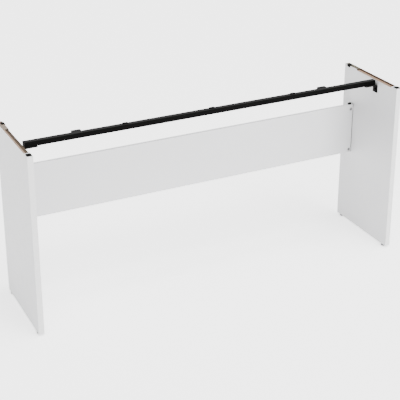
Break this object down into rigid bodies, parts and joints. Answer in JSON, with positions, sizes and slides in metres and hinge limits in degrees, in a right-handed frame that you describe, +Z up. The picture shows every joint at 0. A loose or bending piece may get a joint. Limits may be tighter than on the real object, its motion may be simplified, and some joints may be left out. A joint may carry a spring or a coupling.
{
  "type": "digital piano stand",
  "caption": "Free-standing stand for a slim digital piano: two white board side panels joined by a back board and a black square steel rail, with rubber pads and floor glides.",
  "frame": {"origin": "on the floor, under the middle of the stand's outer box", "axes": "+X along the width towards the player's right, +Y away from the player, +Z up"},
  "size_m": [1.29, 0.306, 0.5946],
  "materials": {
    "white_laminate": "white melamine foil on particle board, satin",
    "black_steel": "black powder coat, satin",
    "black_rubber": "matt",
    "black_plastic": "satin",
    "white_plastic": "satin",
    "zinc": "die-cast or plated zinc, satin"
  },
  "bodies": {
    "stand": {"back_board": "white_laminate", "bracket_panel_screw_left": "black_steel", "bracket_panel_screw_right": "black_steel", "bracket_rail_screw_left": "black_steel", "bracket_rail_screw_right": "black_steel", "connector_bolt_left_lower": "zinc", "connector_bolt_left_upper": "zinc", "connector_bolt_right_lower": "zinc", "connector_bolt_right_upper": "zinc", "connector_housing_left_lower": "white_plastic", "connector_housing_left_upper": "white_plastic", "connector_housing_right_lower": "white_plastic", "connector_housing_right_upper": "white_plastic", "cord_clip_right": "black_plastic", "floor_glide_left_front": "black_plastic", "floor_glide_left_rear": "black_plastic", "floor_glide_right_front": "black_plastic", "floor_glide_right_rear": "black_plastic", "left_side_panel": "white_laminate", "panel_insert_nut_left": "zinc", "panel_insert_nut_right": "zinc", "piano_tab_left": "black_steel", "piano_tab_right": "black_steel", "rail_bracket_left": "black_steel", "rail_bracket_right": "black_steel", "rail_end_plug_left": "black_plastic", "rail_end_plug_right": "black_plastic", "rail_pad_centre": "black_rubber", "rail_pad_left": "black_rubber", "rail_pad_right": "black_rubber", "rail_tube": "black_steel", "rail_weld_nut_left": "zinc", "rail_weld_nut_right": "zinc", "right_side_panel": "white_laminate", "top_pad_left_front": "black_rubber", "top_pad_left_rear": "black_rubber", "top_pad_right_front": "black_rubber", "top_pad_right_rear": "black_rubber"},
    "cam_left_lower": {"connector_cam_left_lower": "zinc"},
    "cam_left_upper": {"connector_cam_left_upper": "zinc"},
    "cam_right_lower": {"connector_cam_right_lower": "zinc"},
    "cam_right_upper": {"connector_cam_right_upper": "zinc"}
  },
  "joints": [
    {"name": "cam_left_lower_turn", "type": "hinge", "parent": "stand", "child": "cam_left_lower", "pos_m": [-0.6175, 0.088, 0.2878], "axis": [0, -1, 0], "range_deg": [0, 180]},
    {"name": "cam_left_upper_turn", "type": "hinge", "parent": "stand", "child": "cam_left_upper", "pos_m": [-0.6175, 0.088, 0.4423], "axis": [0, -1, 0], "range_deg": [0, 180]},
    {"name": "cam_right_lower_turn", "type": "hinge", "parent": "stand", "child": "cam_right_lower", "pos_m": [0.6175, 0.088, 0.2878], "axis": [0, -1, 0], "range_deg": [0, 180]},
    {"name": "cam_right_upper_turn", "type": "hinge", "parent": "stand", "child": "cam_right_upper", "pos_m": [0.6175, 0.088, 0.4423], "axis": [0, -1, 0], "range_deg": [0, 180]}
  ]
}
